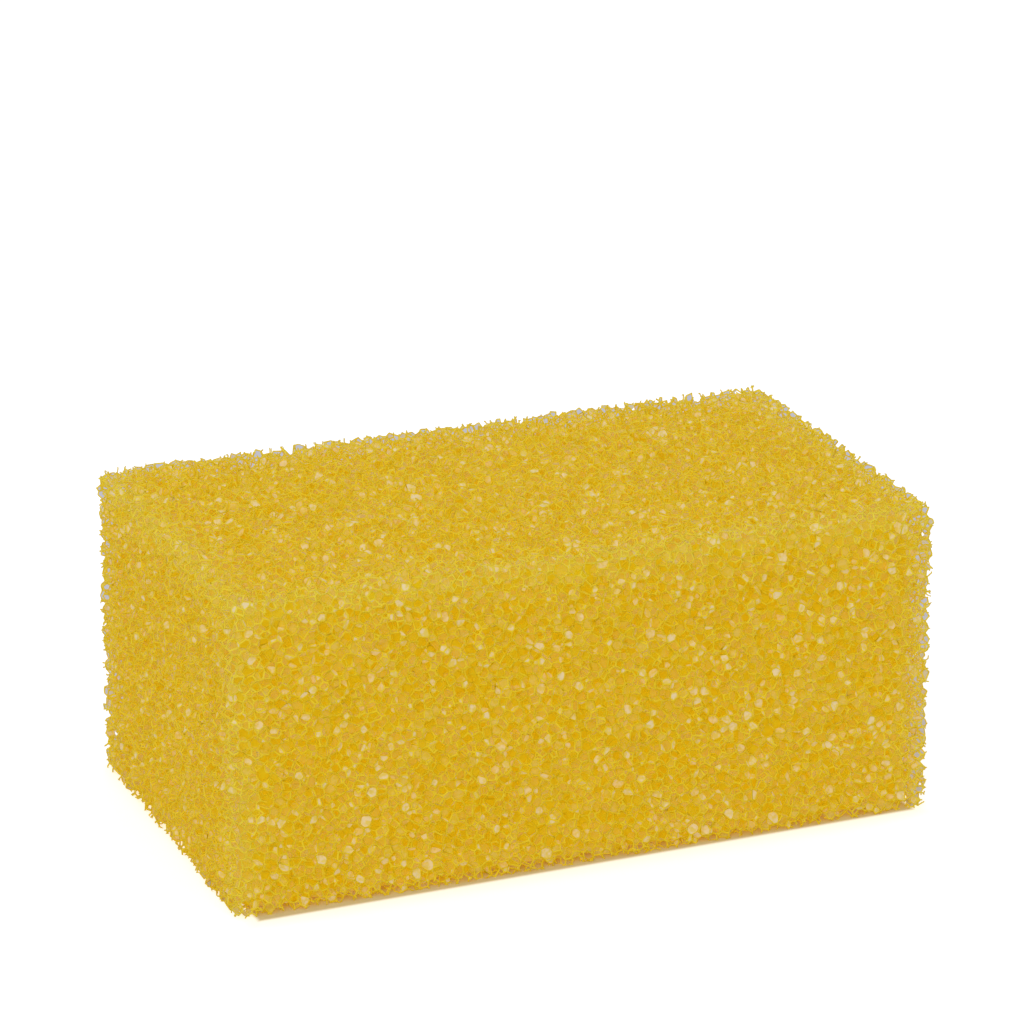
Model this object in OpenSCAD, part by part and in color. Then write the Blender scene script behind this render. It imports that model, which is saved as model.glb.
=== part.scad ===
// Foam sponge block for wetting, wiping and stippling painted and papered walls.
//
// One plain block of coarse open-cell foam, cut flat on all six faces.
// Millimetres. +Z is up and +X runs along the long side. The origin is the centre of the
// bottom face, which the block rests on.

/* [Block] */
// Length of the block, end to end
block_length = 160; // [100:5:240]
// Width of the block, front to back
block_width = 90; // [60:5:150]
// Height of the block as it lies, bottom to top
block_height = 70; // [35:5:110]

/* [Edges] */
// Radius to which the cut edges have softened
edge_radius = 2; // [0.5:0.5:6]

/* [View] */
// The part to show

/* [Hidden] */
foam_color = [0.84, 0.67, 0.18];
// Enough steps for every rounded edge to be a true arc
$fn = 48;

// Rectangle with rounded corners, centred on the origin
module rounded_rectangle(width, height) {
    square([width - 2 * edge_radius, height], center = true);
    square([width, height - 2 * edge_radius], center = true);
    for (x = [-1, 1], y = [-1, 1])
        translate([x * (width / 2 - edge_radius), y * (height / 2 - edge_radius)])
            circle(r = edge_radius);
}

// The whole block: three rounded prisms, one along each axis, and what they have in common
module foam_block() {
    color(foam_color)
        translate([0, 0, block_height / 2])
            intersection() {
                linear_extrude(height = block_height, center = true)
                    rounded_rectangle(block_length, block_width);
                rotate([90, 0, 0])
                    linear_extrude(height = block_width, center = true)
                        rounded_rectangle(block_length, block_height);
                rotate([90, 0, 90])
                    linear_extrude(height = block_length, center = true)
                        rounded_rectangle(block_width, block_height);
            }
}

foam_block();
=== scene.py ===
"""Looks of a coarse foam sponge block: open cells, thin cell skins and a shaded heart, cut from one block.

The foam is grown as it grows in the mould. Seeds spread evenly through a small tile that repeats without
seams, each seed's room is one bubble, the edges where three bubbles meet are the foam's struts and the flat
faces between two bubbles are its windows. The block is then cut out of it: struts end where the cut crosses
them, or short of it where they have torn.
Metres throughout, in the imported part's own frame.
"""

import itertools
import logging
import math
from dataclasses import dataclass, field
from enum import Enum

import bpy
import numpy as np
from mathutils import Matrix, Vector


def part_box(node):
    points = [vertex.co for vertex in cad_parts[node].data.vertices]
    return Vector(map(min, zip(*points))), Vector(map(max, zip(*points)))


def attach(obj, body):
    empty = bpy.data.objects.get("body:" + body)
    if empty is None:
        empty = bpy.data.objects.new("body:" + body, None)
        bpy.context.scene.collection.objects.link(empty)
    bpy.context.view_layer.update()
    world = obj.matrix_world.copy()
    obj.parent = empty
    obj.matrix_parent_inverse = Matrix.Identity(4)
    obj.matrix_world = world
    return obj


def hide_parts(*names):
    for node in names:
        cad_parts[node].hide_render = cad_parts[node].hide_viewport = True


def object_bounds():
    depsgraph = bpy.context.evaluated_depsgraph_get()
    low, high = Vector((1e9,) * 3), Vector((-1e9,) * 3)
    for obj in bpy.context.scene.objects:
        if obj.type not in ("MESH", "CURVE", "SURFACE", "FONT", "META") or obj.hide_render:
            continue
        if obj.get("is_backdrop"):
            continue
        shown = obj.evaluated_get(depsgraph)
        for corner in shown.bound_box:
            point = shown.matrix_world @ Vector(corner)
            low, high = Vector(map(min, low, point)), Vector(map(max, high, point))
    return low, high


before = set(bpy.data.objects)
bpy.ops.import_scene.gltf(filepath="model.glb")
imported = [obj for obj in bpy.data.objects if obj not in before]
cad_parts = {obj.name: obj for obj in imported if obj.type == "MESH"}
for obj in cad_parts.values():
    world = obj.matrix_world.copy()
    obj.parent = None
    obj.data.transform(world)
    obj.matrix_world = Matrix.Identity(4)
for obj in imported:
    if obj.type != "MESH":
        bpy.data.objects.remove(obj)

LOG = logging.getLogger("foam_sponge")
MM = 0.001
CAD_NODE = "foam_block"
BODY = "root"
MAP_NAME = "OFBake"
WHITE = (1.0, 1.0, 1.0, 1.0)

Colour = tuple[float, float, float, float]
Socket = bpy.types.NodeSocket
Tree = bpy.types.NodeTree


# ---------------------------------------------------------------------------------------------------------
# The shape that the foam is cut to
# ---------------------------------------------------------------------------------------------------------


@dataclass(frozen=True)
class CutBlock:
    """The block's outer shape: a box with softened edges, the bottom ones cut off flat part way round.

    Attributes:
        middle: Centre of the box.
        half: Half of the box's size along X, Y and Z.
        edge_radius: Radius of the softened edges.
        bottom: Height at which the box is cut flat.
    """

    middle: np.ndarray
    half: np.ndarray
    edge_radius: float
    bottom: float

    CUT_OFF = 0.3  # share of the edge radius that lies under the flat bottom

    @classmethod
    def from_node(cls, node: str, edge_radius: float, grown: float) -> "CutBlock":
        """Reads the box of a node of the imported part.

        Args:
            node: The node's name.
            edge_radius: Radius of the softened edges.
            grown: How far it is grown on all sides but the bottom.

        Returns:
            The block.
        """
        low, high = (np.array(corner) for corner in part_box(node))
        bottom = float(low[2])
        low, high = low - (grown, grown, cls.CUT_OFF * edge_radius), high + grown
        return cls((low + high) / 2, (high - low) / 2, edge_radius, bottom)

    def layer(self, places: np.ndarray, shell: float, foot: float) -> np.ndarray:
        """How far through the outer layer each place lies: 0 at the cut surface, 1 where the layer ends.

        Args:
            places: Points, the last axis being X, Y and Z.
            shell: Depth of the layer on the top and the four sides.
            foot: Depth of the layer on the bottom, which nobody sees into.

        Returns:
            One share for each point.
        """
        below = (places[..., 2] - self.bottom) / foot
        return np.minimum(self._room(places).min(axis=-1) / shell, below)

    def rim(self, places: np.ndarray) -> np.ndarray:
        """How far each place lies from the nearest edge: its distance to the second nearest face.

        The bottom isn't counted.

        Args:
            places: Points, the last axis being X, Y and Z.

        Returns:
            One distance for each point.
        """
        return np.sort(self._room(places), axis=-1)[..., 1]

    def _room(self, places: np.ndarray) -> np.ndarray:
        """How far each place lies from the nearer side along X and along Y, and from the top.

        Args:
            places: Points, the last axis being X, Y and Z.

        Returns:
            Three distances for each point.
        """
        from_middle = places - self.middle
        room = self.half - np.abs(from_middle)
        room[..., 2] = self.half[2] - from_middle[..., 2]
        return room

    def depth(self, places: np.ndarray) -> np.ndarray:
        """How far each place lies under the cut surface; less than zero is outside.

        Args:
            places: Points, the last axis being X, Y and Z.

        Returns:
            One depth for each point.
        """
        out = np.abs(places - self.middle) - (self.half - self.edge_radius)
        past = np.linalg.norm(np.maximum(out, 0.0), axis=-1)
        rounded = self.edge_radius - past - np.minimum(out.max(axis=-1), 0.0)
        return np.minimum(rounded, places[..., 2] - self.bottom)


# ---------------------------------------------------------------------------------------------------------
# The repeating tile of bubbles
# ---------------------------------------------------------------------------------------------------------


@dataclass
class BubbleTile:
    """A cube of evenly spread bubbles that repeats without seams.

    Attributes:
        bubble: Diameter of the ball that holds as much as one bubble.
        bubbles: How many bubbles the tile holds.
        settlings: How many times the bubbles push each other to even sizes.
        seed: Seed of the random start.
        side: Side of the tile.
        places: Place of each corner, where four bubbles meet.
        owners: The four bubbles at each corner, in rising order.
        owner_hops: Which copy of the tile each of those bubbles is in.
        joined: The corner that each of a corner's four struts runs to.
        joined_hops: Which copy of the tile that corner is in.
    """

    bubble: float
    bubbles: int = 1100
    settlings: int = 5
    seed: int = 7
    side: float = field(init=False)
    places: np.ndarray = field(init=False)
    owners: np.ndarray = field(init=False)
    owner_hops: np.ndarray = field(init=False)
    joined: np.ndarray = field(init=False)
    joined_hops: np.ndarray = field(init=False)

    NEIGHBOURS = 28  # of a bubble, enough to hold all that it touches
    BATCH = 48  # bubbles worked on at a time, to spare memory
    FLAT = 1e-14  # volume under which three steps lie in one plane

    def __post_init__(self) -> None:
        """Grows the bubbles and joins their corners."""
        self.side = (self.bubbles * math.pi / 6) ** (1 / 3) * self.bubble
        seeds = np.random.default_rng(self.seed).random((self.bubbles, 3)) * self.side
        for _ in range(self.settlings):
            seeds = self._settled(seeds)
        self._take_corners(seeds, *self._corners(seeds))
        self._join_corners()

    def _corners(self, seeds: np.ndarray) -> tuple[np.ndarray, ...]:
        """Finds every corner of every bubble, each corner once for each bubble that it belongs to.

        Args:
            seeds: Middle of each bubble.

        Returns:
            The bubble that each corner was found from, the corner's place from that bubble's middle, the
            three other bubbles there, and which copy of the tile each of them is in.
        """
        steps = seeds[None] - seeds[:, None]
        steps -= self.side * np.round(steps / self.side)
        reach = (steps**2).sum(2)
        np.fill_diagonal(reach, np.inf)
        near = np.argpartition(reach, self.NEIGHBOURS, axis=1)[:, : self.NEIGHBOURS]
        steps = np.take_along_axis(steps, near[..., None], axis=1)
        level = (steps**2).sum(2) / 2
        threes = np.array(list(itertools.combinations(range(self.NEIGHBOURS), 3)))
        own = (threes[:, :, None] == np.arange(self.NEIGHBOURS)).any(1)
        found = []
        for start in range(0, self.bubbles, self.BATCH):
            part = slice(start, start + self.BATCH)
            one, two, three = (steps[part][:, threes[:, k]] for k in range(3))
            first, second, third = (level[part][:, threes[:, k], None] for k in range(3))
            across = np.cross(two, three)
            volume = (one * across).sum(2)
            volume[np.abs(volume) < self.FLAT] = np.nan
            place = first * across + second * np.cross(three, one) + third * np.cross(one, two)
            place /= volume[..., None]
            passed = place @ steps[part].transpose(0, 2, 1) <= level[part][:, None]
            bubble, combo = np.nonzero((passed | own).all(2))
            found.append((bubble + start, place[bubble, combo], threes[combo]))
        home = np.concatenate([item[0] for item in found])
        place = np.concatenate([item[1] for item in found])
        which = np.concatenate([item[2] for item in found])
        others = near[home[:, None], which]
        hops = seeds[home][:, None] + steps[home[:, None], which] - seeds[others]
        return home, place, others, np.round(hops / self.side).astype(int)

    def _settled(self, seeds: np.ndarray) -> np.ndarray:
        """Moves each bubble's middle to the mean of its corners, which evens out the sizes.

        Args:
            seeds: Middle of each bubble.

        Returns:
            The moved middles, inside the tile.
        """
        home, place, _, _ = self._corners(seeds)
        count = np.maximum(np.bincount(home, minlength=len(seeds)), 1)
        mean = [np.bincount(home, axis, len(seeds)) / count for axis in place.T]
        return (seeds + np.stack(mean, 1)) % self.side

    def _take_corners(
        self,
        seeds: np.ndarray,
        home: np.ndarray,
        place: np.ndarray,
        others: np.ndarray,
        hops: np.ndarray,
    ) -> None:
        """Keeps each corner once, from the bubble with the lowest number.

        Args:
            seeds: Middle of each bubble.
            home: The bubble each corner was found from.
            place: The corner's place from that bubble's middle.
            others: The three other bubbles there.
            hops: Which copy of the tile each of those is in.
        """
        first = home < others.min(1)
        home, place, others, hops = home[first], place[first], others[first], hops[first]
        owners = np.concatenate([home[:, None], others], 1)
        hops = np.concatenate([np.zeros((len(home), 1, 3), int), hops], 1)
        order = np.argsort(owners, axis=1)
        self.places = seeds[home] + place
        self.owners = np.take_along_axis(owners, order, 1)
        self.owner_hops = np.take_along_axis(hops, order[..., None], 1)

    def _join_corners(self) -> None:
        """Finds the strut opposite each of a corner's four bubbles, which the other three share."""
        corners = len(self.places)
        keys, anchors = [], []
        for left_out in range(4):
            kept = [k for k in range(4) if k != left_out]
            one, two, three = (self.owners[:, k] for k in kept)
            keys.append((one * self.bubbles + two) * self.bubbles + three)
            anchors.append(self.owner_hops[:, kept[0]])
        order = np.argsort(np.concatenate(keys), kind="stable")
        sorted_keys = np.concatenate(keys)[order]
        if (sorted_keys[::2] != sorted_keys[1::2]).any():
            raise RuntimeError("a strut of the bubble tile has no second corner")
        corner, side = order % corners, order // corners
        anchor = np.concatenate(anchors)[order]
        self.joined = np.empty((corners, 4), int)
        self.joined_hops = np.empty((corners, 4, 3), int)
        even, odd = slice(0, None, 2), slice(1, None, 2)
        for here, there in ((even, odd), (odd, even)):
            self.joined[corner[here], side[here]] = corner[there]
            self.joined_hops[corner[here], side[here]] = anchor[here] - anchor[there]

    def windows(self) -> tuple[np.ndarray, np.ndarray, np.ndarray]:
        """Finds the flat windows between neighbouring bubbles.

        Returns:
            For all windows on end, each corner round it and which copy of the tile that corner is in, and
            how many corners each window has.
        """
        pairs, corner, anchor = [], [], []
        for low, high in itertools.combinations(range(4), 2):
            pairs.append(self.owners[:, low] * self.bubbles + self.owners[:, high])
            corner.append(np.arange(len(self.places)))
            anchor.append(self.owner_hops[:, low])
        pairs, corner = np.concatenate(pairs), np.concatenate(corner)
        anchor = np.concatenate(anchor)
        _, group = np.unique(pairs, return_inverse=True)
        place = self.places[corner] - anchor * self.side
        count = np.bincount(group)
        middle = np.stack([np.bincount(group, axis) / count for axis in place.T], 1)[group]
        spoke = place - middle
        order = np.argsort(group, kind="stable")
        first = np.concatenate([[0], np.cumsum(count)[:-1]])
        lead, next_one = spoke[order[first]], spoke[order[first + 1]]
        facing = np.cross(lead, next_one)
        facing /= np.linalg.norm(facing, axis=1)[:, None]
        lead /= np.linalg.norm(lead, axis=1)[:, None]
        side_way = np.cross(facing, lead)
        turn = np.arctan2((spoke * side_way[group]).sum(1), (spoke * lead[group]).sum(1))
        order = np.lexsort((turn, group))
        return corner[order], -anchor[order], count


# ---------------------------------------------------------------------------------------------------------
# The foam that fills the block
# ---------------------------------------------------------------------------------------------------------


@dataclass
class FoamBun:
    """The tile of bubbles repeated and turned so that the block lies at a slant in it.

    Attributes:
        block: The block to be cut.
        tile: The repeating bubbles.
        shell: How deep under the cut surface the cells are modelled.
        foot: The same under the bottom, which nobody sees into.
        slant: Turn of the tile about X, Y and Z, in degrees.
        places: Place of each corner of each copy of the tile that matters.
        depths: How deep each of those lies in the block.
        joined: The four corners that each is joined to, or -1 where one lies far off.
        copies: The copies of the tile.
        span: How many copies there are each way.
    """

    block: CutBlock
    tile: BubbleTile
    shell: float
    foot: float
    slant: tuple[float, float, float] = (23.0, 37.0, 51.0)
    places: np.ndarray = field(init=False)
    depths: np.ndarray = field(init=False)
    joined: np.ndarray = field(init=False)
    copies: np.ndarray = field(init=False)
    span: np.ndarray = field(init=False)

    SPARE = 0.2  # share of the tile's side that the copies reach past the block

    def __post_init__(self) -> None:
        """Repeats the tile over the block."""
        turn = self._turn()
        reach = self.block.half + self.tile.side * self.SPARE
        corners = np.array(list(itertools.product((-1, 1), repeat=3))) * reach
        inside = corners @ turn / self.tile.side
        low = np.floor(inside.min(0)).astype(int) - 1
        self.span = np.ceil(inside.max(0)).astype(int) + 1 - low
        steps = [np.arange(count) for count in self.span]
        self.copies = np.stack(np.meshgrid(*steps, indexing="ij"), -1).reshape(-1, 3)
        laid = self.tile.places[None] + (self.copies + low)[:, None] * self.tile.side
        self.places = (laid @ turn.T + self.block.middle).reshape(-1, 3)
        self.depths = self.block.depth(self.places)
        there = self.copies[:, None, None] + self.tile.joined_hops[None]
        self.joined = self.number(there, self.tile.joined[None]).reshape(-1, 4)

    def layer(self, places: np.ndarray) -> np.ndarray:
        """How far through the modelled layer each place lies, 1 being its end.

        Args:
            places: Points, the last axis being X, Y and Z.

        Returns:
            One share for each point.
        """
        return self.block.layer(places, self.shell, self.foot)

    def _turn(self) -> np.ndarray:
        """The matrix that turns the tile to its slant."""
        result = np.eye(3)
        for axis, angle in enumerate(np.radians(self.slant)):
            step = np.eye(3)
            one, two = (axis + 1) % 3, (axis + 2) % 3
            step[one, one] = step[two, two] = math.cos(angle)
            step[one, two], step[two, one] = -math.sin(angle), math.sin(angle)
            result = step @ result
        return result

    def number(self, copy: np.ndarray, corner: np.ndarray) -> np.ndarray:
        """The number of a corner of a copy of the tile in the list of all corners.

        Args:
            copy: The copy's place in the grid of copies, the last axis being X, Y and Z.
            corner: The corner's number in the tile.

        Returns:
            The numbers, -1 where there is no such copy.
        """
        held = ((copy >= 0) & (copy < self.span)).all(-1)
        row = (copy[..., 0] * self.span[1] + copy[..., 1]) * self.span[2] + copy[..., 2]
        return np.where(held, row * len(self.tile.places) + corner, -1)


@dataclass
class MeshParts:
    """Points and flat faces gathered for one piece.

    Attributes:
        points: Lists of points.
        faces: Lists of faces, each an array with one row of point numbers for each face.
        slots: The material slot of each list of faces.
        marks: Lists of the two map values of each point.
    """

    points: list[np.ndarray] = field(default_factory=list)
    faces: list[np.ndarray] = field(default_factory=list)
    slots: list[int] = field(default_factory=list)
    marks: list[np.ndarray] = field(default_factory=list)

    def add_points(self, points: np.ndarray, marks: np.ndarray) -> int:
        """Adds points.

        Args:
            points: The points.
            marks: The two map values of each point.

        Returns:
            The number of the first one.
        """
        first = sum(len(part) for part in self.points)
        self.points.append(points)
        self.marks.append(marks)
        return first

    def add_faces(self, faces: np.ndarray, slot: int = 0) -> None:
        """Adds faces that have the same number of corners.

        Args:
            faces: One row of point numbers for each face.
            slot: Their material slot.
        """
        self.faces.append(faces)
        self.slots.append(slot)

    def build(self, name: str, smooth: bool) -> bpy.types.Object:
        """Makes the mesh object.

        Args:
            name: The piece's name.
            smooth: Whether its faces shade smoothly.

        Returns:
            The object, in the scene.
        """
        points = np.concatenate(self.points)
        marks = np.concatenate(self.marks)
        loops = np.concatenate([part.ravel() for part in self.faces])
        totals = np.concatenate([np.full(len(part), part.shape[1]) for part in self.faces])
        mesh = bpy.data.meshes.new(name)
        mesh.vertices.add(len(points))
        mesh.vertices.foreach_set("co", points.astype(np.float32).ravel())
        mesh.loops.add(len(loops))
        mesh.loops.foreach_set("vertex_index", loops.astype(np.int32))
        mesh.polygons.add(len(totals))
        starts = np.concatenate([[0], np.cumsum(totals)[:-1]]).astype(np.int32)
        mesh.polygons.foreach_set("loop_start", starts)
        mesh.polygons.foreach_set("use_smooth", np.full(len(totals), smooth))
        slots = np.repeat(self.slots, [len(part) for part in self.faces])
        mesh.polygons.foreach_set("material_index", slots.astype(np.int32))
        layer = mesh.uv_layers.new(name=MAP_NAME)
        layer.uv.foreach_set("vector", marks[loops].astype(np.float32).ravel())
        mesh.update(calc_edges=True)
        mesh.validate()
        obj = bpy.data.objects.new(name, mesh)
        bpy.context.scene.collection.objects.link(obj)
        return obj


@dataclass
class FoamMarks:
    """The two values that each point of the foam carries: how deep it lies, and how far from an edge.

    Attributes:
        bun: The foam.
        reach: How far from an edge the second value ends.
        wobble: How far the second value moves at random from point to point.
    """

    bun: FoamBun
    reach: float = 16.0 * MM
    wobble: float = 0.02

    SEED = 5
    MARGIN = 0.02  # kept free along the map's border

    def at(self, places: np.ndarray) -> np.ndarray:
        """The values of some points.

        Args:
            places: The points.

        Returns:
            Two values from 0 to 1 for each point.
        """
        depth = self.bun.block.depth(places) / self.bun.shell
        inward = self.bun.block.rim(places) / self.reach
        jitter = np.random.default_rng(self.SEED).uniform(-self.wobble, self.wobble, len(places))
        across = self.MARGIN + (1 - 2 * self.MARGIN) * np.clip(depth, 0, 1)
        return np.stack([across, np.clip(inward + jitter, self.MARGIN, 1 - self.MARGIN)], 1)


@dataclass
class FoamStruts:
    """The foam's skeleton: three-sided struts that meet four at a time.

    Attributes:
        bun: The foam.
        thickness: Radius of the little body at each corner, which sets how stout the struts are.
        stubs: Share of the cut struts that still stand, the rest having torn off.
        deep: Share of the deeper struts, which hardly show, that are modelled.
        rim: The same along the block's edges, where the light shows through.
        stub: The shortest and the longest such stub.
        name: The piece's name.
    """

    bun: FoamBun
    thickness: float = 0.205 * MM
    stubs: float = 0.35
    deep: float = 0.8
    rim: float = 0.3
    stub: tuple[float, float] = (0.15 * MM, 0.75 * MM)
    name: str = "foam_struts"

    CUT_STEPS = 14  # halvings that find where a strut leaves the block
    OVERLAP = 1.4  # share of the layer in which struts' corners are looked for
    DEEP_FROM = 0.55  # share of the layer past which struts are thinned out
    RIM = 5.0 * MM  # distance from an edge that counts as beside it
    THINNING_SEED, STANDING_SEED, LENGTH_SEED = 41, 23, 3

    def build(self) -> bpy.types.Object:
        """Makes the skeleton.

        Returns:
            The piece.
        """
        bun, depths = self.bun, self.bun.depths
        near = np.flatnonzero((depths > 0) & (bun.layer(bun.places) < self.OVERLAP))
        far_end = bun.joined[near]
        middle = (bun.places[near][:, None] + bun.places[far_end]) / 2
        layer = bun.layer(middle)
        kept = (far_end >= 0) & (layer < 1)
        chance = np.random.default_rng(self.THINNING_SEED).random(len(depths))
        share = np.where(bun.block.rim(middle) < self.RIM, self.rim, self.deep)
        kept &= (layer < self.DEEP_FROM) | ((chance[near][:, None] + chance[far_end]) % 1 < share)
        draws = np.random.default_rng(self.STANDING_SEED).random(kept.shape)
        through_bottom = bun.places[far_end][..., 2] < bun.block.bottom
        kept &= (depths[far_end] > 0) | through_bottom | (draws < self.stubs)
        used = kept.any(1)
        near, far_end, kept = near[used], far_end[used], kept[used]
        row_of = np.full(len(depths), -1)
        row_of[near] = np.arange(len(near))
        ways = bun.places[far_end] - bun.places[near][:, None]
        ways /= np.linalg.norm(ways, axis=2)[..., None]
        hubs = bun.places[near][:, None] - self.thickness * ways
        parts = MeshParts()
        marks = FoamMarks(bun)
        flat_hubs = hubs.reshape(-1, 3)
        parts.add_points(flat_hubs, marks.at(flat_hubs))

        # Each corner is a body of four points, one behind each strut, which leaves from the other three
        left_out = np.array([[1, 2, 3], [0, 2, 3], [0, 1, 3], [0, 1, 2]])
        node, side = np.nonzero(kept)
        other = row_of[far_end[node, side]]
        whole = (other >= 0) & (near[node] < far_end[node, side])
        cut = other < 0
        corners_here = left_out[side] + 4 * node[:, None]
        flip = self._turned(flat_hubs[corners_here], ways[node, side])
        corners_here[flip] = corners_here[flip][:, ::-1]

        # Struts with both ends in the foam
        rows = np.flatnonzero(whole)
        there, here = other[rows], node[rows]
        side_there = np.argmax(far_end[there] == near[here][:, None], axis=1)
        corners_there = left_out[side_there] + 4 * there[:, None]
        flipped = flip[rows]
        corners_there[flipped] = corners_there[flipped][:, ::-1]
        self._sleeve(parts, corners_here[rows], corners_there)

        # Struts that the cut goes through
        rows = np.flatnonzero(cut)
        start = flat_hubs[corners_here[rows]]
        span = bun.places[far_end[node[rows], side[rows]]] - bun.places[near[node[rows]]]
        ends = self._cut_ends(start, span)
        first = parts.add_points(ends.reshape(-1, 3), marks.at(ends.reshape(-1, 3)))
        corners_end = first + np.arange(len(rows) * 3).reshape(-1, 3)
        self._sleeve(parts, corners_here[rows], corners_end)
        parts.add_faces(corners_end)

        # The corners' own faces where no strut leaves
        node, side = np.nonzero(~kept)
        caps = left_out[side] + 4 * node[:, None]
        flip = self._turned(flat_hubs[caps], ways[node, side])
        caps[flip] = caps[flip][:, ::-1]
        parts.add_faces(caps)
        return parts.build(self.name, smooth=True)

    def _turned(self, threes: np.ndarray, ways: np.ndarray) -> np.ndarray:
        """Whether each set of three corners runs the wrong way round, seen from ahead.

        Args:
            threes: Three places for each strut.
            ways: The way each strut leaves.

        Returns:
            True where the order has to be turned round.
        """
        facing = np.cross(threes[:, 1] - threes[:, 0], threes[:, 2] - threes[:, 0])
        return (facing * ways).sum(1) < 0

    def _sleeve(self, parts: MeshParts, near: np.ndarray, far: np.ndarray) -> None:
        """Adds the three long faces of each strut.

        Args:
            parts: Where they are added.
            near: Three point numbers at each strut's start.
            far: The matching three at its end.
        """
        for k in range(3):
            following = (k + 1) % 3
            parts.add_faces(
                np.stack([near[:, k], near[:, following], far[:, following], far[:, k]], 1)
            )

    def _cut_ends(self, start: np.ndarray, span: np.ndarray) -> np.ndarray:
        """Where each strut that leaves the block ends: at the cut, or before it where it has torn.

        Args:
            start: Three places at each strut's inner end.
            span: From each strut's inner corner to its outer one.

        Returns:
            Three places for each strut.
        """
        low = np.zeros(start.shape[:2])
        high = np.ones(start.shape[:2])
        for _ in range(self.CUT_STEPS):
            share = (low + high) / 2
            outside = self.bun.block.depth(start + share[..., None] * span[:, None]) < 0
            high = np.where(outside, share, high)
            low = np.where(outside, low, share)
        length = np.linalg.norm(span, axis=1)
        longest = np.random.default_rng(self.LENGTH_SEED).uniform(*self.stub, len(span)) / length
        longest[start[:, 0, 2] + span[:, 2] < self.bun.block.bottom] = 1.0
        share = np.minimum(np.maximum(low, self.stub[0] / length[:, None]), longest[:, None])
        return start + share[..., None] * span[:, None]


class SkinKind(Enum):
    """How a window's thin skin looks."""

    CLEAR = 0
    # A skin painted paler than the clear one: the extra paleness is a painted sheen
    MILKY = 1
    # A skin painted pale cream: a painted glint, where a flat window would mirror the light
    PEARLY = 2
    # A nearly clear skin whose whitish colour, stronger at a slant, is a painted reflection
    VEIL = 3


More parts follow.
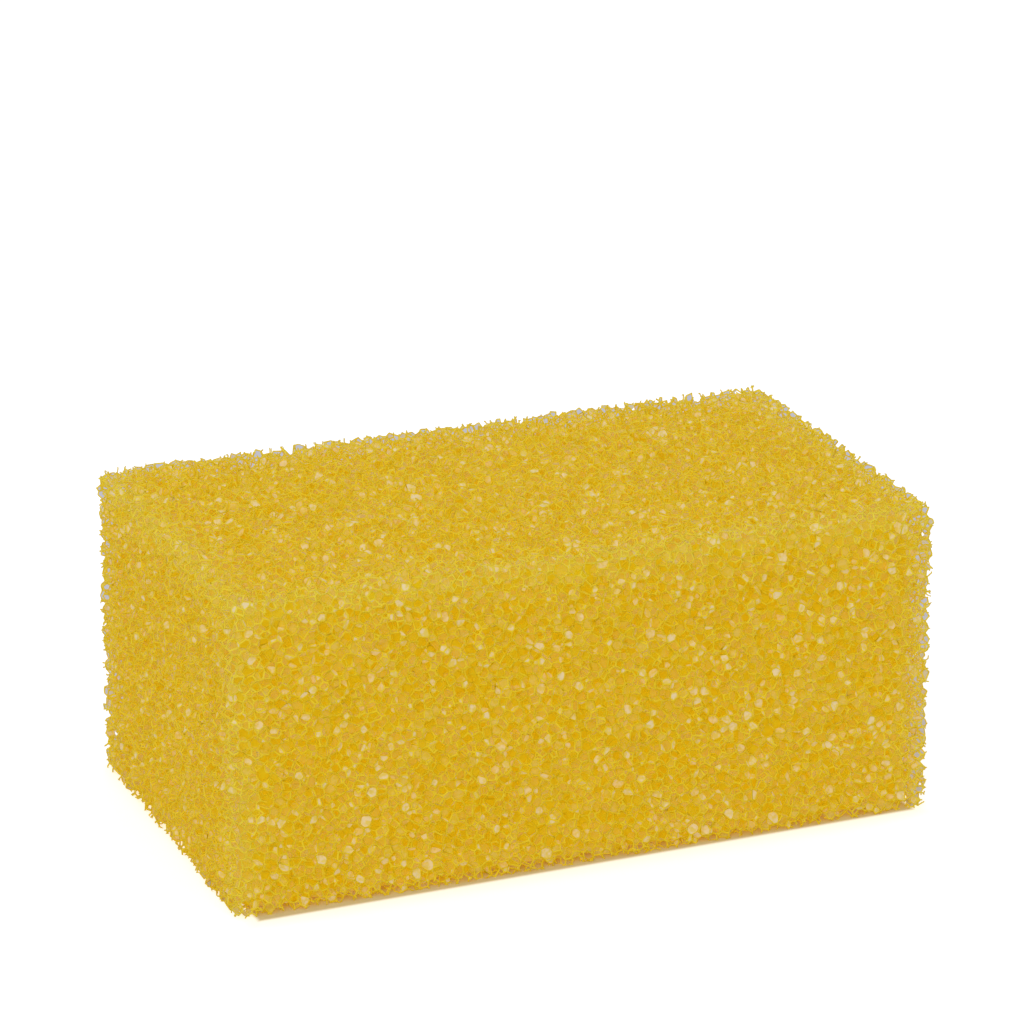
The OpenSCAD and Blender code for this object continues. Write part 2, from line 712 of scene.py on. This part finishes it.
@dataclass
class FoamSkins:
    """The thin skins that the cells' windows still have.

    Attributes:
        bun: The foam.
        near: How deep the skins are told apart; below that they are few and plain.
        near_shares: Shares of the upper windows with a painted glint skin, a painted sheen skin, a torn and
            a clear
        skin; a veil is left in the others.
        deep_shares: The same for the deeper windows, of which the others are open.
        rim_share: How much of each of those shares is left along the block's edges.
        name: The piece's name.
    """

    bun: FoamBun
    near: float = 2.1 * MM
    near_shares: tuple[float, ...] = (0.145, 0.18, 0.17, 0.10)
    deep_shares: tuple[float, ...] = (0.04, 0.07, 0.0, 0.14)
    rim_share: float = 0.6
    name: str = "foam_skins"

    LOOKS = (SkinKind.PEARLY, SkinKind.MILKY, None, SkinKind.CLEAR, SkinKind.VEIL)
    SIDES = range(3, 10)  # the few windows with more sides stay open
    CORNER = 0.75  # how near a rounded outline comes to each corner
    HOLE = (0.35, 0.8)  # smallest and largest hole, as a share of the window
    OFF_CENTRE = 0.9  # how far towards its corner a hole may lie
    SEED = 17

    def build(self) -> bpy.types.Object:
        """Makes the skins.

        Returns:
            The piece.
        """
        bun = self.bun
        corner, hop, count = bun.tile.windows()
        first = np.concatenate([[0], np.cumsum(count)[:-1]])
        rng = np.random.default_rng(self.SEED)
        parts, marks = MeshParts(), FoamMarks(bun)
        for sides in self.SIDES:
            windows = np.flatnonzero(count == sides)
            if not len(windows):
                continue
            at = first[windows][:, None] + np.arange(sides)
            copy, window = np.divmod(np.arange(len(bun.copies) * len(windows)), len(windows))
            rows = at[window]
            numbers = bun.number(bun.copies[copy][:, None] + hop[rows], corner[rows])
            numbers = numbers[(numbers >= 0).all(1)]
            held = (bun.depths[numbers].min(1) > 0) & (bun.layer(bun.places[numbers]).mean(1) < 1)
            rings, depths = bun.places[numbers[held]], bun.depths[numbers[held]].mean(1)
            self._add(parts, marks, rings[depths < self.near], rng)
            deep = (depths >= self.near) & (bun.block.rim(rings.mean(1)) > FoamStruts.RIM)
            self._add_deep(parts, marks, rings[deep], rng)
        return parts.build(self.name, smooth=False)

    def _add(
        self, parts: MeshParts, marks: FoamMarks, rings: np.ndarray, rng: np.random.Generator
    ) -> None:
        """Adds the skins of upper windows that have the same number of corners.

        Args:
            parts: Where they are added.
            marks: The values each point carries.
            rings: The windows' corners.
            rng: Random numbers.
        """
        before, after = np.roll(rings, 1, axis=1), np.roll(rings, -1, axis=1)
        corners = self.CORNER * rings + (1 - self.CORNER) / 2 * (before + after)
        rounded = np.stack([corners, (rings + after) / 2], 2).reshape(len(rings), -1, 3)
        rim = self.bun.block.rim(rings.mean(1)) < FoamStruts.RIM
        draws = rng.random(len(rings)) / np.where(rim, self.rim_share, 1.0)
        look = np.searchsorted(np.cumsum(self.near_shares), draws)
        for number, kind in enumerate(self.LOOKS):
            if kind is None:
                self._holed(parts, marks, rings[look == number], rng)
            elif kind is SkinKind.VEIL:
                self._whole(parts, marks, rings[look == number], kind)
            else:
                self._whole(parts, marks, rounded[look == number], kind)

    def _add_deep(
        self, parts: MeshParts, marks: FoamMarks, rings: np.ndarray, rng: np.random.Generator
    ) -> None:
        """Adds the few plain skins of deeper windows.

        Args:
            parts: Where they are added.
            marks: The values each point carries.
            rings: The windows' corners.
            rng: Random numbers.
        """
        look = np.searchsorted(np.cumsum(self.deep_shares), rng.random(len(rings)))
        for number, kind in enumerate(self.LOOKS[:-1]):
            if kind is not None:
                self._whole(parts, marks, rings[look == number], kind)

    def _whole(self, parts: MeshParts, marks: FoamMarks, rings: np.ndarray, kind: SkinKind) -> None:
        """Adds skins that cover their windows.

        Args:
            parts: Where they are added.
            marks: The values each point carries.
            rings: The skins' outlines.
            kind: How they look.
        """
        points = rings.reshape(-1, 3)
        first = parts.add_points(points, marks.at(points))
        parts.add_faces(first + np.arange(len(points)).reshape(rings.shape[:2]), kind.value)

    def _holed(
        self, parts: MeshParts, marks: FoamMarks, outer: np.ndarray, rng: np.random.Generator
    ) -> None:
        """Adds skins with a round hole, most of them off centre, so that some are crescents.

        Args:
            parts: Where they are added.
            marks: The values each point carries.
            outer: The windows' corners.
            rng: Random numbers.
        """
        middle = outer.mean(1, keepdims=True)
        size = rng.uniform(*self.HOLE, len(outer))[:, None, None]
        lean = rng.integers(0, outer.shape[1], len(outer))
        shift = (outer[np.arange(len(outer)), lean] - middle[:, 0]) * self.OFF_CENTRE
        inner = middle + (outer - middle) * size
        inner += (shift * rng.random(len(outer))[:, None])[:, None] * (1 - size)
        points = np.stack([outer, inner], 2).reshape(-1, 3)
        first = parts.add_points(points, marks.at(points))
        around = outer.shape[1]
        outside = first + np.arange(len(outer) * around).reshape(-1, around) * 2
        inside = outside + 1
        quads = np.stack([outside, np.roll(outside, -1, 1), np.roll(inside, -1, 1), inside], 2)
        parts.add_faces(quads.reshape(-1, 4), SkinKind.CLEAR.value)


@dataclass
class FoamHeart:
    """The foam too deep to be told apart, as one pitted body inside the skeleton.

    Attributes:
        bun: The foam.
        inset: How far it lies under the cut faces.
        pitch: Size of its faces.
        relief: How far its walls stand above its pits.
        name: The piece's name.
    """

    bun: FoamBun
    inset: float
    pitch: float = 0.9 * MM
    relief: float = 1.6 * MM
    name: str = "foam_heart"

    CORNER_RADIUS = 5.0 * MM
    PIT = "pit"
    PIT_SIZE = 0.9  # of a bubble
    # The pit mask sets where the heart's colour is painted darker, as shade in its pits
    DEEPEST = 0.6  # share of the relief at which a pit has its full colour

    def build(self) -> bpy.types.Object:
        """Makes the heart.

        Returns:
            The piece.
        """
        block = self.bun.block
        low, high = block.middle - block.half + self.inset, block.middle + block.half - self.inset
        low[2] = block.bottom - self.CORNER_RADIUS
        middle, half = (low + high) / 2, (high - low) / 2
        bpy.ops.object.select_all(action="DESELECT")
        bpy.ops.mesh.primitive_cube_add(size=1.0, location=(0, 0, 0))
        obj = bpy.context.object
        obj.name = obj.data.name = self.name
        obj.data.transform(self._stretched(half, middle))
        bpy.ops.object.mode_set(mode="EDIT")
        bpy.ops.mesh.select_all(action="SELECT")
        bpy.ops.mesh.bevel(offset=self.CORNER_RADIUS, segments=5, affect="EDGES", profile=0.5)
        bpy.ops.mesh.select_all(action="SELECT")
        bpy.ops.mesh.bisect(
            plane_co=(0, 0, block.bottom + self.bun.foot),
            plane_no=(0, 0, 1),
            clear_inner=True,
            use_fill=True,
        )
        bpy.ops.object.mode_set(mode="OBJECT")
        remesh = obj.modifiers.new("even_faces", "REMESH")
        remesh.mode = "VOXEL"
        remesh.voxel_size = self.pitch
        bpy.ops.object.modifier_apply(modifier=remesh.name)
        before = self._places(obj.data)
        texture = bpy.data.textures.new("heart_pits", "VORONOI")
        texture.noise_scale = self.bun.tile.bubble * self.PIT_SIZE
        texture.weight_1, texture.weight_2 = -1.0, 1.0  # deep in a pit's middle, nothing at its wall
        pits = obj.modifiers.new("pits", "DISPLACE")
        pits.texture, pits.strength, pits.mid_level = texture, -self.relief, 0.0
        bpy.ops.object.modifier_apply(modifier=pits.name)
        sunk = np.linalg.norm(self._places(obj.data) - before, axis=1) / self.relief
        # How far each point sank, which the heart's finish uses as the mask of its painted shade
        pit = obj.data.attributes.new(self.PIT, "FLOAT", "POINT")
        pit.data.foreach_set("value", np.clip(sunk / self.DEEPEST, 0, 1).astype(np.float32))
        bpy.ops.object.shade_smooth()
        return obj

    def _places(self, mesh: bpy.types.Mesh) -> np.ndarray:
        """The place of each of a mesh's points.

        Args:
            mesh: The mesh.

        Returns:
            One row for each point.
        """
        flat = np.empty(len(mesh.vertices) * 3, np.float32)
        mesh.vertices.foreach_get("co", flat)
        return flat.reshape(-1, 3)

    def _stretched(self, half: np.ndarray, middle: np.ndarray) -> Matrix:
        """The matrix that takes a unit cube to the heart's box.

        Args:
            half: Half of the box's size.
            middle: The box's centre.

        Returns:
            The matrix.
        """
        return Matrix.Translation(Vector(middle)) @ Matrix.Diagonal((*(half * 2), 1.0))


# ---------------------------------------------------------------------------------------------------------
# Finishes
# ---------------------------------------------------------------------------------------------------------


def feed(tree: Tree, socket: Socket, value: Socket | Colour | float) -> None:
    """Gives a node's input its value.

    Args:
        tree: The node tree that the node is in.
        socket: The input.
        value: Another node's output, or a plain number or colour.
    """
    if isinstance(value, Socket):
        tree.links.new(value, socket)
    else:
        socket.default_value = value


def ranged(
    tree: Tree,
    value: Socket,
    given: tuple[float, float] = (0.0, 1.0),
    wanted: tuple[Socket | float, Socket | float] = (0.0, 1.0),
    eased: bool = False,
) -> Socket:
    """Adds a node that takes one range of values to another.

    Args:
        tree: The node tree that it is added to.
        value: What comes in.
        given: The range that it comes in.
        wanted: The range that it is taken to.
        eased: Whether it sets in and ends smoothly.

    Returns:
        The socket with the result.
    """
    node = tree.nodes.new("ShaderNodeMapRange")
    node.interpolation_type = "SMOOTHSTEP" if eased else "LINEAR"
    feed(tree, node.inputs["Value"], value)
    for name, end in zip(("From Min", "From Max", "To Min", "To Max"), (*given, *wanted)):
        feed(tree, node.inputs[name], end)
    return node.outputs["Result"]


def mixed(tree: Tree, share: Socket, first: Socket | Colour, second: Socket | Colour) -> Socket:
    """Adds a node that mixes two colours.

    Args:
        tree: The node tree that it is added to.
        share: The share of the second colour.
        first: The first colour.
        second: The second colour.

    Returns:
        The socket with the mixed colour.
    """
    node = tree.nodes.new("ShaderNodeMix")
    node.data_type = "RGBA"
    feed(tree, node.inputs["Factor"], share)
    feed(tree, node.inputs["A"], first)
    feed(tree, node.inputs["B"], second)
    return node.outputs["Result"]


def reckoned(tree: Tree, operation: str, first: Socket, second: Socket | float) -> Socket:
    """Adds a node that works out one number from two.

    Args:
        tree: The node tree that it is added to.
        operation: What is done with them.
        first: The first number.
        second: The second number.

    Returns:
        The socket with the result.
    """
    node = tree.nodes.new("ShaderNodeMath")
    node.operation = operation
    feed(tree, node.inputs[0], first)
    feed(tree, node.inputs[1], second)
    return node.outputs[0]


def own_place(tree: Tree) -> Socket:
    """Adds a node that gives the place on the object."""
    return tree.nodes.new("ShaderNodeTexCoord").outputs["Object"]


def clouded(tree: Tree, place: Socket, scale: float, detail: float) -> Socket:
    """Adds soft random clouds.

    Args:
        tree: The node tree that they are added to.
        place: Where they are read.
        scale: How many there are to a metre.
        detail: How many finer layers they have.

    Returns:
        The socket with their value.
    """
    node = tree.nodes.new("ShaderNodeTexNoise")
    node.inputs["Scale"].default_value = scale
    node.inputs["Detail"].default_value = detail
    tree.links.new(place, node.inputs["Vector"])
    return node.outputs["Fac"]


def plain_material(
    name: str, specular: float, glow: Colour | None = None
) -> tuple[bpy.types.Material, bpy.types.Node]:
    """Makes a material that has only what is the same all over it.

    Args:
        name: The material's name.
        specular: How strongly it mirrors.
        glow: Light that it gives off, if any.

    Returns:
        The material and its shader.
    """
    material = bpy.data.materials.new(name)
    material.use_nodes = True
    shader = material.node_tree.nodes["Principled BSDF"]
    shader.inputs["Specular IOR Level"].default_value = specular
    if glow is not None:
        shader.inputs["Emission Color"].default_value = glow
        shader.inputs["Emission Strength"].default_value = 1.0
    return material, shader


@dataclass(frozen=True)
class FoamFinish:
    """The yellow of the struts with painted light and shade: pale where the light reaches and amber where
    it doesn't.

    Attributes:
        name: The material's name.
        edge: Colour along the block's edges, which are the palest: painted light where it shows through the
            edges.
        outer: Colour at the cut face, painted paler where the light reaches.
        inner: Colour at the bottom of the shell, painted amber as shade.
        glow: Painted glow: light that the struts give off, standing in for the light that they carry in
            from elsewhere in the block.
        specular: How strongly the struts mirror.
        pale_to: Share of the reach of the foam's marks over which the painted pale edge fades.
        clouds: How many clouds there are to a metre.
        brightness: How bright the clouds are at their darkest and at their brightest.
        roughness: Roughness at its smoothest and at its roughest.
    """

    name: str = "foam_yellow"
    edge: Colour = (0.75, 0.67, 0.055, 1.0)
    outer: Colour = (0.74, 0.61, 0.030, 1.0)
    inner: Colour = (0.71, 0.58, 0.004, 1.0)
    glow: Colour = (0.238, 0.141, 0.001, 1.0)
    specular: float = 0.22
    pale_to: float = 0.75
    clouds: float = 260.0
    brightness: tuple[float, float] = (0.94, 1.05)
    roughness: tuple[float, float] = (0.42, 0.6)

    def build(self) -> bpy.types.Material:
        """Makes the material.

        Returns:
            The material.
        """
        # The glow is painted light: the struts give off light though they are no lamp
        material, shader = plain_material(self.name, self.specular, self.glow)
        tree = material.node_tree
        marks = tree.nodes.new("ShaderNodeUVMap")
        marks.uv_map = MAP_NAME
        split = tree.nodes.new("ShaderNodeSeparateXYZ")
        tree.links.new(marks.outputs["UV"], split.inputs[0])
        # Painted light and shade: pale at the cut face and along the edges, amber deeper in
        depth = mixed(tree, split.outputs["X"], self.outer, self.inner)
        rim = ranged(tree, split.outputs["Y"], (self.pale_to, 0.0), eased=True)
        cloud = clouded(tree, own_place(tree), self.clouds, 2.0)
        tint = tree.nodes.new("ShaderNodeHueSaturation")
        bright = ranged(tree, cloud, (0.3, 0.7), self.brightness)
        tree.links.new(bright, tint.inputs["Value"])
        tree.links.new(mixed(tree, rim, depth, self.edge), tint.inputs["Color"])
        tree.links.new(tint.outputs["Color"], shader.inputs["Base Color"])
        tree.links.new(ranged(tree, cloud, wanted=self.roughness), shader.inputs["Roughness"])
        return material


@dataclass(frozen=True)
class FilmClouds:
    """The milky clouds that every kind of film has, as one node group.

    Attributes:
        name: The group's name.
        scale: How many clouds there are to a metre.
        spread: Value of the clouds at which the film is at its deepest and at its palest.
    """

    name: str = "film_clouds"
    scale: float = 950.0
    spread: tuple[float, float] = (0.38, 0.60)

    INPUTS = (
        ("Place", "NodeSocketVector"),
        ("Deep", "NodeSocketColor"),
        ("Pale", "NodeSocketColor"),
        ("Smoothest", "NodeSocketFloat"),
        ("Roughest", "NodeSocketFloat"),
    )
    OUTPUTS = (("Color", "NodeSocketColor"), ("Roughness", "NodeSocketFloat"))

    def group(self) -> Tree:
        """Makes the group, or gives the one that was made before.

        Returns:
            The group.
        """
        made = bpy.data.node_groups.get(self.name)
        if made:
            return made
        group = bpy.data.node_groups.new(self.name, "ShaderNodeTree")
        for way, sockets in (("INPUT", self.INPUTS), ("OUTPUT", self.OUTPUTS)):
            for name, kind in sockets:
                group.interface.new_socket(name, in_out=way, socket_type=kind)
        given = group.nodes.new("NodeGroupInput").outputs
        result = group.nodes.new("NodeGroupOutput").inputs
        clouds = clouded(group, given["Place"], self.scale, 1.0)
        colour = mixed(group, ranged(group, clouds, self.spread), given["Deep"], given["Pale"])
        rough = ranged(group, clouds, wanted=(given["Smoothest"], given["Roughest"]))
        group.links.new(colour, result["Color"])
        group.links.new(rough, result["Roughness"])
        return group


@dataclass(frozen=True)
class SkinFinish:
    """The thin clouded film of a cell's window.

    Attributes:
        name: The material's name.
        colour: The film's own colour where it is palest.
        cloud: Its colour where it is deepest.
        cover: How much of what is behind it the film hides where it is looked at straight on.
        glow: Painted glow: light that the film gives off, standing in for light it carries in from
            elsewhere in the block.
        edge_on: How much it hides where it is looked at along its face, if that is another share.
        specular: How strongly it mirrors.
        roughness: Roughness at its smoothest and at its roughest.
    """

    name: str
    colour: Colour
    cloud: Colour
    cover: float
    glow: Colour
    edge_on: float | None = None
    specular: float = 0.25
    roughness: tuple[float, float] = (0.12, 0.4)

    def build(self) -> bpy.types.Material:
        """Makes the material.

        Returns:
            The material.
        """
        material, shader = plain_material(self.name, self.specular, self.glow)
        tree = material.node_tree
        clouds = tree.nodes.new("ShaderNodeGroup")
        clouds.node_tree = FilmClouds().group()
        clouds.inputs["Deep"].default_value = self.cloud
        clouds.inputs["Pale"].default_value = self.colour
        clouds.inputs["Smoothest"].default_value = self.roughness[0]
        clouds.inputs["Roughest"].default_value = self.roughness[1]
        tree.links.new(own_place(tree), clouds.inputs["Place"])
        tree.links.new(clouds.outputs["Color"], shader.inputs["Base Color"])
        tree.links.new(clouds.outputs["Roughness"], shader.inputs["Roughness"])
        shader.inputs["Alpha"].default_value = self.cover
        if self.edge_on is not None:
            angle = tree.nodes.new("ShaderNodeLayerWeight")
            angle.inputs["Blend"].default_value = 0.5
            steep = reckoned(tree, "POWER", angle.outputs["Facing"], 2.0)
            cover = ranged(tree, steep, wanted=(self.cover, self.edge_on))
            tree.links.new(cover, shader.inputs["Alpha"])
        return material


SKIN_FINISHES = {
    SkinKind.CLEAR: SkinFinish(
        name="clear_film",
        colour=(0.79, 0.69, 0.010, 1.0),
        cloud=(0.785, 0.63, 0.003, 1.0),
        cover=0.38,
        glow=(0.152, 0.084, 0.001, 1.0),
    ),
    # Painted sheen: a skin coloured paler than the clear film, standing in for light mirrored off it
    SkinKind.MILKY: SkinFinish(
        name="painted_sheen_film",
        colour=(0.81, 0.74, 0.20, 1.0),
        cloud=(0.78, 0.67, 0.04, 1.0),
        cover=0.48,
        glow=(0.16, 0.090, 0.008, 1.0),
    ),
    # Painted glint: a pale cream skin that stands in for a window mirroring the light
    SkinKind.PEARLY: SkinFinish(
        name="painted_glint_film",
        colour=(0.89, 0.83, 0.56, 1.0),
        cloud=(0.82, 0.71, 0.11, 1.0),
        cover=0.74,
        glow=(0.17, 0.12, 0.045, 1.0),
    ),
    # Painted reflection: the veil's whitish colour shows more at a slant, as a film mirrors the bright
    # surroundings
    SkinKind.VEIL: SkinFinish(
        name="veil_film",
        colour=(0.83, 0.84, 0.86, 1.0),
        cloud=(0.82, 0.79, 0.46, 1.0),
        cover=0.05,
        glow=(0.130, 0.125, 0.088, 1.0),
        edge_on=0.38,
    ),
}


@dataclass(frozen=True)
class HeartFinish:
    """The shaded foam deep inside: amber pits between yellow walls, the pits' amber being painted shade.

    Attributes:
        name: The material's name.
        wall: Colour of the cell walls.
        pit: Colour of the pits between them, painted darker as shade.
        glow: Painted glow: light that it gives off, standing in for light the foam carries in from
            elsewhere in the block.
        specular: How strongly it mirrors.
        cell: Size of the cells.
        grain: How many of the finer grains go into a cell's width.
        roughness: Roughness at its smoothest and at its roughest.
        relief: How high the grains stand.
    """

    name: str = "foam_deep"
    wall: Colour = (0.795, 0.68, 0.006, 1.0)
    pit: Colour = (0.785, 0.59, 0.001, 1.0)
    glow: Colour = (0.168, 0.092, 0.001, 1.0)
    specular: float = 0.2
    cell: float = 2.6 * MM
    grain: float = 2.0
    roughness: tuple[float, float] = (0.5, 0.8)
    relief: float = 0.4 * MM

    def build(self) -> bpy.types.Material:
        """Makes the material.

        Returns:
            The material.
        """
        material, shader = plain_material(self.name, self.specular, self.glow)
        tree = material.node_tree
        sunk = tree.nodes.new("ShaderNodeAttribute")
        sunk.attribute_name = FoamHeart.PIT
        # Painted shade: the pits are coloured a darker amber than the walls
        tree.links.new(mixed(tree, sunk.outputs["Fac"], self.wall, self.pit), shader.inputs["Base Color"])
        grains = tree.nodes.new("ShaderNodeTexVoronoi")
        grains.feature = "SMOOTH_F1"
        grains.inputs["Scale"].default_value = self.grain / self.cell
        tree.links.new(own_place(tree), grains.inputs["Vector"])
        rough = ranged(tree, grains.outputs["Distance"], wanted=self.roughness)
        tree.links.new(rough, shader.inputs["Roughness"])
        bump = tree.nodes.new("ShaderNodeBump")
        bump.inputs["Strength"].default_value = 0.5
        bump.inputs["Distance"].default_value = self.relief
        tree.links.new(grains.outputs["Distance"], bump.inputs["Height"])
        tree.links.new(bump.outputs["Normal"], shader.inputs["Normal"])
        return material


def seen_directly(tree: Tree) -> Socket:
    """Adds nodes that tell light that goes straight to the camera from all other light.

    Args:
        tree: The node tree that they are added to.

    Returns:
        A socket that is 1 where the camera looks with nothing in between, and else 0.
    """
    path = tree.nodes.new("ShaderNodeLightPath")
    bare = reckoned(tree, "LESS_THAN", path.outputs["Transparent Depth"], 0.5)
    return reckoned(tree, "MULTIPLY", path.outputs["Is Camera Ray"], bare)


@dataclass(frozen=True)
class FloorFinish:
    """A matt white table top, lit to white except in a narrow painted shadow beside the sponge.

    Attributes:
        footprint: Half of the sponge's length and width.
        name: The material's name.
        colour: Its colour.
        shaded: Its colour in the painted shadow, tan as where all the light comes through the foam.
        turn: How many degrees the painted shadow is turned, which makes it wider at the left end of the
            front.
        tuck: How much shorter the painted shadow is than the sponge at each end.
        lean: How far the painted shadow reaches out past the sponge, along X and Y.
        lift: How much light is added to what the camera sees of it.
        fringe: Colour of that light beside the sponge: a painted yellow glow from the foam.
        fade: Over what distance from the painted shadow the added light sets in.
        tinted: Over what distance from the painted shadow the painted yellow glow fades.
    """

    footprint: tuple[float, float]
    name: str = "studio_white"
    colour: Colour = (0.80, 0.80, 0.80, 1.0)
    shaded: Colour = (0.86, 0.76, 0.42, 1.0)
    turn: float = 0.7
    tuck: float = 3.2 * MM
    lean: tuple[float, float] = (0.0, -1.7 * MM)
    lift: float = 0.62
    fringe: Colour = (1.0, 0.95, 0.74, 1.0)
    fade: float = 1.6 * MM
    tinted: float = 7.0 * MM

    def build(self) -> bpy.types.Material:
        """Makes the material.

        Returns:
            The material.
        """
        material, shader = plain_material(self.name, specular=0.0)
        shader.inputs["Roughness"].default_value = 0.9
        tree = material.node_tree
        outside = self._outside(tree)
        lit = ranged(tree, outside, (-self.fade / 2, self.fade / 2), eased=True)
        plain = ranged(tree, outside, (0.0, self.tinted), eased=True)
        strength = reckoned(tree, "MULTIPLY", lit, seen_directly(tree))
        strength = reckoned(tree, "MULTIPLY", strength, self.lift)
        # Painted shadow: tan colour inside the shadow box. Painted yellow glow in the light added just
        # beside it
        tree.links.new(mixed(tree, lit, self.shaded, self.colour), shader.inputs["Base Color"])
        tree.links.new(mixed(tree, plain, self.fringe, WHITE), shader.inputs["Emission Color"])
        tree.links.new(strength, shader.inputs["Emission Strength"])
        return material

    def _outside(self, tree: Tree) -> Socket:
        """Adds nodes that measure how far a point lies outside the painted shadow.

        Args:
            tree: The node tree that they are added to.

        Returns:
            The socket with the distance.
        """
        nodes, links = tree.nodes, tree.links
        shifted = nodes.new("ShaderNodeMapping")
        shifted.vector_type = "TEXTURE"
        shifted.inputs["Location"].default_value = (*self.lean, 0.0)
        shifted.inputs["Rotation"].default_value = (0.0, 0.0, math.radians(self.turn))
        positive = nodes.new("ShaderNodeVectorMath")
        positive.operation = "ABSOLUTE"
        past = nodes.new("ShaderNodeVectorMath")
        past.operation = "SUBTRACT"
        past.inputs[1].default_value = (self.footprint[0] - self.tuck, self.footprint[1], 0.0)
        split = nodes.new("ShaderNodeSeparateXYZ")
        links.new(own_place(tree), shifted.inputs["Vector"])
        links.new(shifted.outputs["Vector"], positive.inputs[0])
        links.new(positive.outputs["Vector"], past.inputs[0])
        links.new(past.outputs["Vector"], split.inputs[0])
        return reckoned(tree, "MAXIMUM", split.outputs["X"], split.outputs["Y"])


# ---------------------------------------------------------------------------------------------------------
# The sponge and the studio
# ---------------------------------------------------------------------------------------------------------


@dataclass
class Sponge:
    """The whole sponge: skeleton, skins and heart of one block of foam.

    Attributes:
        cell: Diameter of the cells.
        shell: How deep the cells are modelled.
        foot: The same under the bottom.
        edge_radius: Radius of the block's softened edges.
        overhang: How far the foam is grown past the block before the outermost struts tear off.
    """

    cell: float = 2.6 * MM
    shell: float = 2.9 * MM
    foot: float = 0.6 * MM
    edge_radius: float = 2.0 * MM
    overhang: float = 1.0 * MM

    def build(self) -> list[bpy.types.Object]:
        """Builds and dresses every piece.

        Returns:
            The pieces.
        """
        block = CutBlock.from_node(CAD_NODE, self.edge_radius, self.overhang)
        bun = FoamBun(block, BubbleTile(self.cell), self.shell, self.foot)
        LOG.info("tile: %d corners, side %.1f mm", len(bun.tile.places), bun.tile.side / MM)
        struts = self.dress(FoamStruts(bun).build(), FoamFinish().build())
        skins = self.dress(FoamSkins(bun).build(), *(SKIN_FINISHES[kind].build() for kind in SkinKind))
        heart = self.dress(FoamHeart(bun, bun.shell).build(), HeartFinish(cell=self.cell).build())
        return [struts, skins, heart]

    def dress(self, piece: bpy.types.Object, *materials: bpy.types.Material) -> bpy.types.Object:
        """Gives a piece its materials and fixes it to the part.

        Args:
            piece: The piece.
            materials: Its materials, in the order of its slots.

        Returns:
            The piece.
        """
        for material in materials:
            piece.data.materials.append(material)
        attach(piece, BODY)
        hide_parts(CAD_NODE)
        triangles = sum(len(face.vertices) - 2 for face in piece.data.polygons)
        LOG.info("%s: %d triangles", piece.name, triangles)
        return piece


@dataclass
class Studio:
    """White table, soft light and the camera.

    Attributes:
        azimuth: Degrees that the camera stands to the left of the block's front.
        elevation: Degrees that it stands above the table.
        distance: Distance of the camera from the point that it looks at.
        aim: The point that it looks at.
        lens: Focal length in millimetres, on a frame as wide as SENSOR.
        daylight: Colour and strength of the even light from all round.
        table: Side of the table top.
    """

    azimuth: float = -22.0
    elevation: float = 19.72
    distance: float = 1.0538
    aim: tuple[float, float, float] = (0.0002, 0.0, 0.0650)
    lens: float = 168.96
    daylight: Colour = (0.615, 0.61, 0.71, 1.0)
    table: float = 8.0

    SENSOR = 36.0

    def build(self) -> None:
        """Sets up everything round the sponge."""
        self.floor()
        self.camera()
        self.world()
        self.softbox("key", place=(-0.75, -1.05, 0.85), size=0.8, power=2.6)

    def floor(self) -> None:
        """The table top."""
        bpy.ops.object.select_all(action="DESELECT")
        bpy.ops.mesh.primitive_plane_add(size=self.table, location=(0, 0, 0))
        floor = bpy.context.object
        floor.name = "table_top"
        low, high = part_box(CAD_NODE)
        footprint = ((high.x - low.x) / 2, (high.y - low.y) / 2)
        floor.data.materials.append(FloorFinish(footprint).build())
        floor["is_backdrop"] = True

    def camera(self) -> None:
        """The camera, at the height and turn that show the front, the left end and the top."""
        turn, lift = math.radians(self.azimuth), math.radians(self.elevation)
        away = Vector((math.sin(turn) * math.cos(lift), -math.cos(turn) * math.cos(lift), math.sin(lift)))
        data = bpy.data.cameras.new("camera")
        data.lens, data.sensor_width = self.lens, self.SENSOR
        camera = bpy.data.objects.new("camera", data)
        camera.location = Vector(self.aim) + away * self.distance
        camera.rotation_euler = away.to_track_quat("Z", "Y").to_euler()
        bpy.context.scene.collection.objects.link(camera)
        bpy.context.scene.camera = camera

    def world(self) -> None:
        """Even light from all round, and a backdrop that is white where the camera sees it bare."""
        world = bpy.data.worlds.new("studio")
        world.use_nodes = True
        tree = world.node_tree
        shade = mixed(tree, seen_directly(tree), self.daylight, WHITE)
        tree.links.new(shade, tree.nodes["Background"].inputs["Color"])
        scene = bpy.context.scene
        scene.world = world
        scene.view_settings.view_transform = "Standard"
        scene.cycles.max_bounces = 20
        scene.cycles.diffuse_bounces = 16
        scene.cycles.transparent_max_bounces = 24

    def softbox(self, name: str, place: tuple[float, float, float], size: float, power: float) -> None:
        """One square softbox aimed at the sponge.

        Args:
            name: The lamp's name.
            place: Where it stands.
            size: Its side.
            power: Its power, in watts.
        """
        data = bpy.data.lights.new(name, "AREA")
        data.shape, data.size, data.energy = "SQUARE", size, power
        lamp = bpy.data.objects.new(name, data)
        lamp.location = place
        lamp.rotation_euler = (Vector(place) - Vector(self.aim)).to_track_quat("Z", "Y").to_euler()
        bpy.context.scene.collection.objects.link(lamp)


def plain(corners: tuple[Vector, Vector]) -> list[list[float]]:
    """Turns a box's two corners into plain lists of numbers.

    Args:
        corners: The lowest and the highest corner.

    Returns:
        The same as lists.
    """
    return [[float(value) for value in corner] for corner in corners]


def main() -> None:
    """Builds the sponge and the studio."""
    logging.basicConfig(level=logging.INFO, format="%(message)s")
    cad_box = plain(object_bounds())
    Sponge().build()
    Studio().build()
    {"cad": cad_box, "visual": plain(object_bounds())}


if __name__ == "__main__":
    main()
